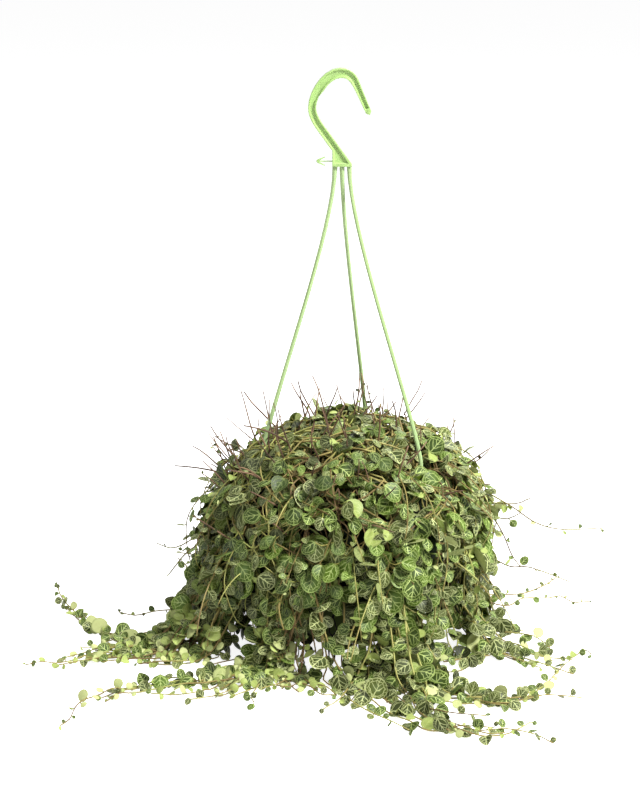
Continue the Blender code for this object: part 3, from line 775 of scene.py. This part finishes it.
runnerGroups = {
    "left": {
        "replaces": range(1, 5), "stems": 5, "thin": (4, 5), "step": 4.2,
        "look": "paleRunner", "facing": (-0.25, -1, 0.35),
        "routes": [
            [(-102, -22), (-126, -43), (-144, -48), (-158, -38), (-170, -27), (-184, -8), (-198, 17),
             (-208, 40), (-216, 71)],
            [(-108, -46), (-144, -61), (-170, -65), (-186, -74), (-196, -78), (-206, -80), (-216, -80)],
            [(-102, -44), (-136, -52), (-166, -56), (-180, -61), (-196, -69)],
            [(-84, -58), (-114, -73), (-130, -75), (-144, -76), (-154, -74), (-166, -63)],
            [(-104, 30), (-126, 19), (-138, 16), (-152, 10), (-164, 17)],
            [(-108, -6), (-132, -20), (-154, -30), (-170, -44)],
            [(-84, -48), (-100, -62), (-114, -60), (-134, -66), (-150, -64)],
            [(-80, -44), (-96, -54), (-118, -52), (-142, -58)],
        ],
    },
    "front_left": {
        "replaces": range(5, 8), "stems": 4, "thin": (), "step": 4.2,
        "look": "paleRunner", "facing": (-0.1, -1, 0.4),
        "routes": [
            [(-34, -67), (-62, -86), (-98, -106), (-116, -108), (-144, -117), (-154, -120), (-162, -132),
             (-170, -143), (-174, -153), (-176, -166), (-180, -178)],
            [(-48, -72), (-68, -88), (-88, -118), (-94, -123), (-110, -130), (-128, -132)],
            [(-34, -58), (-50, -68), (-68, -74), (-88, -82), (-100, -90)],
            [(-52, -78), (-52, -106), (-66, -123), (-76, -134)],
            [(-54, -70), (-54, -90), (-58, -109), (-64, -135), (-62, -147)],
            [(-36, -80), (-36, -108), (-26, -123), (-20, -134), (-10, -127)],
            [(-32, -80), (-34, -108), (-40, -120), (-48, -118)],
        ],
    },
    "front_right": {
        "replaces": range(8, 13), "stems": 3, "thin": (), "step": 5.6,
        "look": "runner", "facing": (0.1, -1, 0.4),
        "routes": [
            [(-10, -78), (0, -113), (12, -142), (22, -154), (36, -173), (46, -181), (62, -182), (78, -181),
             (94, -186), (110, -191), (120, -203)],
            [(36, -110), (46, -157), (54, -171), (64, -185), (76, -192), (86, -192), (96, -185), (110, -171)],
            [(16, -84), (26, -112), (40, -140), (58, -160), (82, -166)],
            [(40, -84), (52, -126), (60, -133), (78, -139), (90, -141), (106, -139), (116, -134),
             (128, -133), (146, -137)],
            [(40, -90), (50, -105), (62, -114), (74, -118), (82, -126), (94, -137), (104, -141), (112, -133),
             (126, -112), (142, -81), (148, -76)],
            [(2, -84), (0, -116), (-8, -140), (-20, -152)],
            [(8, -86), (10, -112), (18, -126), (22, -144)],
            [(22, -86), (30, -112), (38, -122), (48, -128)],
            [(10, -86), (16, -104), (32, -110), (50, -112)],
        ],
    },
    "right": {
        "replaces": range(13, 17), "stems": 3, "thin": (3, 6), "step": 5.0,
        "look": "runner", "facing": (0.3, -1, 0.35),
        "routes": [
            [(84, -10), (92, -16), (100, -22), (114, -29), (126, -35), (134, -44), (136, -59)],
            [(80, -30), (96, -40), (106, -53), (118, -65), (132, -69), (148, -67), (158, -56), (162, -64)],
            [(46, -72), (50, -88), (70, -90), (84, -72), (98, -46)],
            [(92, 20), (116, 30), (126, 36), (146, 42), (154, 43), (162, 33), (168, 31), (174, 37)],
            [(88, -48), (108, -62), (128, -84), (146, -96)],
            [(54, -62), (62, -78), (82, -70), (100, -52), (120, -48)],
            [(84, 36), (108, 46), (128, 54), (146, 68), (157, 86)],
        ],
    },
    "back": {
        "replaces": range(17, 23), "stems": 2, "thin": (5,), "step": 5.6,
        "look": "runner", "facing": (0, 1, 0.5),
        "routes": [
            [(76, 74), (98, 94), (108, 116), (110, 140)],
            [(46, 98), (54, 126), (52, 150), (66, 172)],
            [(6, 108), (0, 138), (6, 162), (-6, 184)],
            [(-38, 104), (-46, 132), (-66, 152), (-74, 176)],
            [(-74, 86), (-96, 108), (-108, 132), (-132, 144)],
            [(-98, 56), (-116, 78), (-122, 104), (-130, 128)],
            [(26, 100), (30, 126), (18, 150), (26, 168)],
            [(-16, 104), (-26, 130), (-38, 142), (-34, 166)],
        ],
    },
}
runners = {
    "radius": 0.66,
    "starts": (104, 150),  # mm down the mound's surface
    "stride": 13,  # mm from point to point on the mound
    "leave": 44,  # mm before the hem, where a runner lets go of the mound
    "sweep": 0.45,  # most that it turns round the mound, in radians for each 60 mm
    "drops": (0.5, 0.24, 0.08),  # heights on its way down, as shares of where it lets go
    "aside": (4, 13),
    "shares": (0.45, 0.8),
    "pace": 4.0,
}


def growRunner(rng, route, radius, step, look, facing, stalk=(0.8, 2.4), hanging=0):
    # Leaves to both sides of a stem that lies or stands in the open; the first points, as many as hanging
    # says, are on the mound
    grown, walked, sinceLeaf, side = [], 0.0, 0.0, 1
    length = sum((b - a).length for a, b in zip(route, route[1:]))
    for i, (a, b) in enumerate(zip(route, route[1:])):
        walked += (b - a).length
        sinceLeaf += (b - a).length
        share = walked / length
        onMound = i < hanging
        isDrop = hanging > 0 and hanging - 7 <= i < hanging + 2
        apart = 2.0 if isDrop else 1.2 if onMound else 1 + 0.25 * share
        if sinceLeaf < step * apart:
            continue
        sinceLeaf = rng.uniform(-0.2, 0.2) * step
        ahead = (b - a).normalized()
        tilt = 0.0 if onMound else rng.uniform(0.0, 1.2)
        wild = anyDirection(rng) * (0.5 if rng.random() < 0.6 else 1.1)
        face = facing * (1 - 0.6 * tilt) + up * tilt + wild
        across = ahead.cross(face).normalized() * side
        lean = across * rng.uniform(0.3, 0.8) + ahead * 0.5 - face.normalized() * 0.35
        blade = across * 0.8 + ahead * 0.6 + anyDirection(rng) * 0.4
        # Painted light and shade: on the mound leaves are lighter on the right, where the key lamp falls, and
        # darker on the left; in the open they grow lighter further along
        light = 0.8 * facing.x - 0.1 if onMound else 0.15 * share
        grown.append(growLeaf(
            rng, b, lean, rng.uniform(*stalk) * (1.1 - 0.6 * share), blade, face,
            looks["drape"] if onMound else look, 1 - 0.68 * share ** 1.5, light))
        side = -side
    stem = [(point * mm, radius * (1 - 0.4 * i / len(route)) * mm) for i, point in enumerate(route)]
    return stem, grown


def runnerPoints(rng, places, aside, share):
    # Down the mound's side, off it in a bow and along the table
    ends = [Vector(place) for place in places]
    cut = max(2, round(share * len(ends)))
    away = (ends[1] - ends[0]).normalized()
    across = Vector((-away.y, away.x))
    ends = [end + aside * across for end in ends[:cut]]
    angle = math.atan2(ends[0].y, ends[0].x)
    turn = math.remainder(math.atan2(ends[1].y, ends[1].x) - angle, math.tau)
    turn = max(-runners["sweep"], min(runners["sweep"], 2.5 * turn)) + rng.uniform(-0.1, 0.1)
    walked = rng.uniform(*runners["starts"])
    leave = mound["length"] - runners["leave"]
    points = []
    while walked < leave:
        wave = rng.uniform(-0.09, 0.09)
        points.append(moundPlace(walked, angle + wave - turn * (leave - walked) / 60, rng.uniform(1, 11))[0])
        walked += runners["stride"]
    hanging = round(sum((b - a).length for a, b in zip(points, points[1:])) / runners["pace"]) + 6
    high = points[-1].z
    for drop in runners["drops"]:
        bow = across * rng.uniform(-5, 5)
        points.append(Vector((*(points[-1].xy.lerp(ends[1], 0.36) + bow), high * drop)))
    for x, y in ends[1:]:
        points.append(Vector((x, y, runners["radius"] + rng.uniform(0, 4.0))))
    return points, hanging


def makeRunners():
    lowest = runners["radius"] + 0.5
    for index, (group, facts) in enumerate(runnerGroups.items()):
        rng = random.Random(300 + index)
        growth = Growth()
        for number, places in enumerate(facts["routes"]):
            isThin = number in facts["thin"]
            look = looks["shoot" if isThin else facts["look"]]
            for follower in range(1 if isThin else facts["stems"]):
                aside = follower and rng.choice((-1, 1)) * rng.uniform(*runners["aside"])
                share = rng.uniform(*runners["shares"]) if follower else 1.0
                points, hanging = runnerPoints(rng, places, aside, share)
                route = smoothRoute(points, runners["pace"])
                for point in route:
                    point.z = max(point.z, lowest)
                growth.add(*growRunner(
                    rng, route, runners["radius"], facts["step"], look, Vector(facts["facing"]),
                    hanging=hanging))
        built = [f"trailing_stem_{i:02d}" for i in facts["replaces"]]
        growth.build("runner_" + group, runnerFinish, built, 6)


arches = {
    "zones": [(34, -62, 50), (12, 62, 150), (10, 150, 240), (6, 240, 300)],  # how many, directions in degrees
    "stemRadius": 0.5,
    "step": 6.0,
    "reach": (8, 24),
}


def makeArches():
    # Thin stems with small leaves that spring from the shoulder and come back lower down
    rng = random.Random(31)
    growth = Growth()
    for turns in eachOf(arches["zones"]):
        angle = randomTurn(rng, *turns)
        start, length = rng.uniform(50, 110), rng.uniform(50, 105)
        far, turn = rng.uniform(*arches["reach"]), rng.uniform(-0.3, 0.3)
        points = []
        for i in range(7):
            t = i / 6
            walked = min(start + length * t, mound["length"] - 22)
            points.append(moundPlace(walked, angle + turn * t, 3 - far * math.sin(math.pi * t) ** 0.8)[0])
        route, out = smoothRoute(points, 3.5), moundPlace(start, angle)[1]
        growth.add(*growRunner(
            rng, route, arches["stemRadius"], arches["step"], looks["arch"], out, (1.0, 3.0)))
    growth.build("arch", runnerFinish)


makeRunners()
makeArches()


# Shoots that stand out of the mound into the air, in mm

sideShoots = {
    "routes": [
        [(96, -8, 98), (112, -14, 90), (128, -18, 80), (146, -20, 76), (172, -20, 77)],
        [(96, -10, 92), (114, -12, 92), (124, -12, 96)],
        [(98, -6, 80), (110, -8, 80), (118, -8, 84)],
        [(98, -12, 84), (106, -14, 70), (112, -16, 56), (118, -18, 48)],
        [(98, -2, 50), (112, -6, 44), (126, -8, 44), (152, -14, 36)],
        [(-98, 4, 60), (-108, 8, 60), (-118, 10, 54), (-126, 10, 52), (-136, 12, 55)],
        [(-98, -18, 68), (-112, -22, 60), (-124, -26, 46)],
    ],
    "radius": 0.58,
    "step": 8.5,
    "facing": (0, -1, 0.4),
}


def makeSideShoots():
    rng = random.Random(41)
    growth = Growth()
    for places in sideShoots["routes"]:
        route = smoothRoute(places, 4.0)
        growth.add(*growRunner(
            rng, route, sideShoots["radius"], sideShoots["step"], looks["shoot"],
            Vector(sideShoots["facing"]), (1.0, 3.0)))
    growth.build("shoot", stemFinish, [f"side_shoot_{i}" for i in range(1, 5)])


makeSideShoots()


# Leafless flower spikes, small sprigs and tendrils, by zone of the mound: how many, directions from and to in
# degrees, mm down the surface from and to, lengths from and to in mm. The built spikes run through the points
# given, from inside the mound to the tip.

topGrowth = {
    "builtSpikes": [
        [(-50, 8, 140), (-60, 10, 150), (-68, 12, 158), (-73, 13, 165)],
        [(-74, -6, 108), (-88, -8, 113), (-104, -10, 117), (-120, -8, 118)],
        [(-24, 17, 146), (-30, 20, 156), (-34, 23, 163), (-36, 25, 170)],
        [(6, 16, 150), (8, 18, 160), (10, 20, 168), (8, 22, 176)],
        [(38, 21, 146), (44, 26, 156), (48, 28, 162), (51, 31, 169)],
        [(-42, -30, 141), (-52, -36, 149), (-62, -41, 154), (-71, -45, 157)],
    ],
    "spikes": [
        (24, 150, 225, 50, 100, 20, 36), (18, 0, 360, 4, 60, 14, 30), (14, 230, 320, 40, 110, 12, 28),
        (10, -50, 60, 50, 100, 10, 22), (16, 60, 150, 50, 120, 16, 38),
    ],
    "spikeRadius": 0.6,
    "sprigs": [(6, 150, 225, 50, 130, 16, 34), (6, 60, 300, 10, 60, 12, 24), (4, -60, 60, 60, 110, 14, 30)],
    "tendrils": [(40, 0, 360, 60, 165, 16, 42), (6, 215, 325, 60, 150, 20, 46)],
    "stemRadius": 0.62,
}


def growOut(rng, zones, droop):
    # Curved lines that leave the mound somewhere in their zone
    shares = (0, 0.12, 0.25, 0.38, 0.5, 0.62, 0.75, 0.88, 1.0)
    for fromTurn, toTurn, fromStep, toStep, shortest, longest in eachOf(zones):
        point, out = moundPlace(rng.uniform(fromStep, toStep), randomTurn(rng, fromTurn, toTurn), 5)
        way = (out * 0.9 + up * 0.4 + anyDirection(rng) * 0.5).normalized()
        length = rng.uniform(shortest, longest) + 8
        bend = anyDirection(rng) * 0.7 + up * droop
        wave = anyDirection(rng) * 0.06
        yield [point + length * (way * t + bend * t * t * 0.5 + wave * math.sin(5 * t)) for t in shares]


def taperedRoute(line, steps):
    radius = topGrowth["spikeRadius"]
    return [(p * mm, radius * (1.1 - 0.5 * (i / steps) ** 2) * mm) for i, p in enumerate(line)]


def makeTopGrowth():
    rng = random.Random(53)
    radius = topGrowth["stemRadius"]
    routes = [taperedRoute(line, len(line) - 1) for line in growOut(rng, topGrowth["spikes"], 0.2)]
    for places in topGrowth["builtSpikes"]:
        line = smoothRoute(places, 6.0)
        routes.append(taperedRoute(line, len(line)))
    built = [f"flower_spike_{i}" for i in range(1, 7)]
    drawTubes("flower_spikes", routes, spikeFinish, built)
    growth = Growth()
    for line in growOut(rng, topGrowth["sprigs"], 0.3):
        route = smoothRoute(line, 2.5)
        growth.add(*growRunner(rng, route, radius, 5.0, looks["sprig"], Vector((0, -1, 0.3)), (0.5, 1.5)))
    growth.build("sprig", spikeFinish)
    growth = Growth()
    for line in growOut(rng, topGrowth["tendrils"], -2.2):
        route = smoothRoute([p for p in line if p.z > 3], 2.5)
        facing = (route[-1] - route[0]) * 0.02 + up * 0.4
        growth.add(*growRunner(rng, route, radius, 11.0, looks["loose"], facing))
    growth.build("tendril", runnerFinish)


makeTopGrowth()


roots = {
    "zones": [(12, 240, 300), (12, 0, 360)],  # how many, directions from and to in degrees
    "radius": 0.55,
    "foot": (66, 96),  # mm from the pot's middle
    "inside": 60,  # the same for their tops
    "top": (24, 46),  # mm up
    "bow": 6,
    "wave": 2.6,
}


def makeRoots():
    # Dry dark roots and bare twigs that hang from the hem's inside down to the table
    rng = random.Random(67)
    routes = []
    for turns in eachOf(roots["zones"]):
        around = awayAt(randomTurn(rng, *turns))
        foot = around * rng.uniform(*roots["foot"]) + up * 1.5
        top = around * roots["inside"] + up * rng.uniform(*roots["top"])
        line = []
        for i in range(9):
            t = i / 8
            wave = anyDirection(rng) * roots["wave"] * math.sin(math.pi * t)
            point = top.lerp(foot, t) + wave + around * roots["bow"] * math.sin(math.pi * t)
            point.z = max(point.z, 1.2)
            line.append((point * mm, roots["radius"] * rng.uniform(0.6, 1.4) * mm))
        routes.append(line)
    drawTubes("root_twigs", routes, rootFinish)


makeRoots()


# Pot, soil and hanger keep their built shape and get their finish

def makeCast(name, colours, scales, roughness, bump, **sockets):
    # Two colours in patches, and a grain in roughness and relief
    material, tree, shader = newMaterial(name, **sockets)
    patch, grain = coverUneven(tree, shader, *scales, *roughness)
    fillInputs(tree, shader, {"Base Color": mixColour(tree, patch, *colours)})
    addBump(tree, shader, grain, *bump)
    return material


def makePlastic(name, colour, shade, roughness, coat=0.0, gloss=0.3):
    return makeCast(
        name, (colour, shade), (60.0, 700.0), (roughness, 0.15), (0.00002, 0.15),
        Coat_Weight=coat, Coat_Roughness=0.2, Specular_IOR_Level=gloss)


nodes["pot"].material_slots[0].material = makePlastic(
    "pot plastic", (0.04, 0.064, 0.004, 1), (0.056, 0.084, 0.006, 1), 0.42, gloss=0.12)
nodes["soil"].material_slots[0].material = makeCast(
    "peat", ((0.012, 0.007, 0.004, 1), (0.05, 0.028, 0.015, 1)), (220.0, 900.0), (0.8, 0.2), (0.001,))
strandFinish = makePlastic("strand plastic", (0.3, 0.42, 0.18, 1), (0.32, 0.44, 0.19, 1), 0.3, 0.15)
hangerFinish = makePlastic("hanger plastic", (0.3, 0.46, 0.15, 1), (0.32, 0.48, 0.16, 1), 0.3, 0.15)


def smoothCopy(name, edge, finish):
    # A copy of a built piece with its edges rounded
    obj = linkObject("smooth_" + name, nodes[name].data.copy())
    selectOnly(obj)
    mergeClose(0.000002)
    bpy.ops.mesh.dissolve_limited(angle_limit=math.radians(0.5))
    setMode("OBJECT")
    if edge:
        bevel = obj.modifiers.new("edges", "BEVEL")
        bevel.width = edge
        bevel.segments = 2
        bevel.limit_method = "ANGLE"
        bevel.angle_limit = math.radians(35)
        bpy.ops.object.modifier_apply(modifier=bevel.name)
    bpy.ops.object.shade_smooth_by_angle(angle=math.radians(40))
    ridePiece(obj, finish, [name])


smoothCopy("hanger_hook", 0.00022, hangerFinish)
for side in ("left", "right", "back"):
    smoothCopy(f"hanger_strand_{side}", 0.0, strandFinish)
print("hanger finished")


# Floor, light and camera

def seenPart(tree):
    # 1 for what is seen straight, mirrored or through something, 0 for what only sheds light
    path = addNode(tree, "LightPath")
    seen = calc(tree, "MAXIMUM", path.outputs["Is Camera Ray"], path.outputs["Is Glossy Ray"])
    return calc(tree, "MAXIMUM", seen, path.outputs["Is Transmission Ray"])


def makeFloor():
    bpy.ops.object.select_all(action="DESELECT")
    bpy.ops.mesh.primitive_plane_add(size=40, location=(0, 0, -0.0005))
    floor = bpy.context.object
    floor.name = "floor"
    material, tree, shader = newMaterial(
        "pale floor", Base_Color=(0.82, 0.82, 0.82, 1), Roughness=0.9, Specular_IOR_Level=0.0,
        Emission_Color=(1, 1, 1, 1))
    fillInputs(tree, shader, {"Emission Strength": times(tree, seenPart(tree), 0.9)})
    floor.data.materials.append(material)


def makeWorld():
    world = bpy.data.worlds.new("studio")
    world.use_nodes = True
    bpy.context.scene.world = world
    tree = world.node_tree
    strength = addNode(tree, "Mix", {0: seenPart(tree), 2: 0.09, 3: 1.0}, data_type="FLOAT").outputs[0]
    fillInputs(tree, tree.nodes["Background"], {"Color": (1, 1, 1, 1), "Strength": strength})


def addLamp(name, place, size, power):
    lamp = bpy.data.lights.new(name, "AREA")
    lamp.size = size
    lamp.energy = power
    obj = linkObject(name, lamp)
    obj.location = place
    middle = Vector((0, 0, 0.12))
    obj.rotation_euler = (middle - Vector(place)).to_track_quat("-Z", "Y").to_euler()


def addCamera():
    camera = bpy.data.cameras.new("camera")
    camera.lens = 85
    camera.sensor_width = 36
    obj = linkObject("camera", camera)
    obj.location = (-0.0205, -1.248, 0.4969)
    obj.rotation_euler = (math.radians(75), 0, 0)
    bpy.context.scene.camera = obj


makeFloor()
makeWorld()
addLamp("key", (1.1, -0.7, 1.32), 0.45, 59)
addLamp("top", (-0.15, -0.25, 1.7), 1.0, 15)
addLamp("fill", (-1.1, -1.0, 0.7), 1.2, 4.2)
addLamp("rim", (0.5, 1.2, 1.0), 0.8, 8)
addCamera()
bpy.context.scene.view_settings.view_transform = "Standard"
print("stage set")
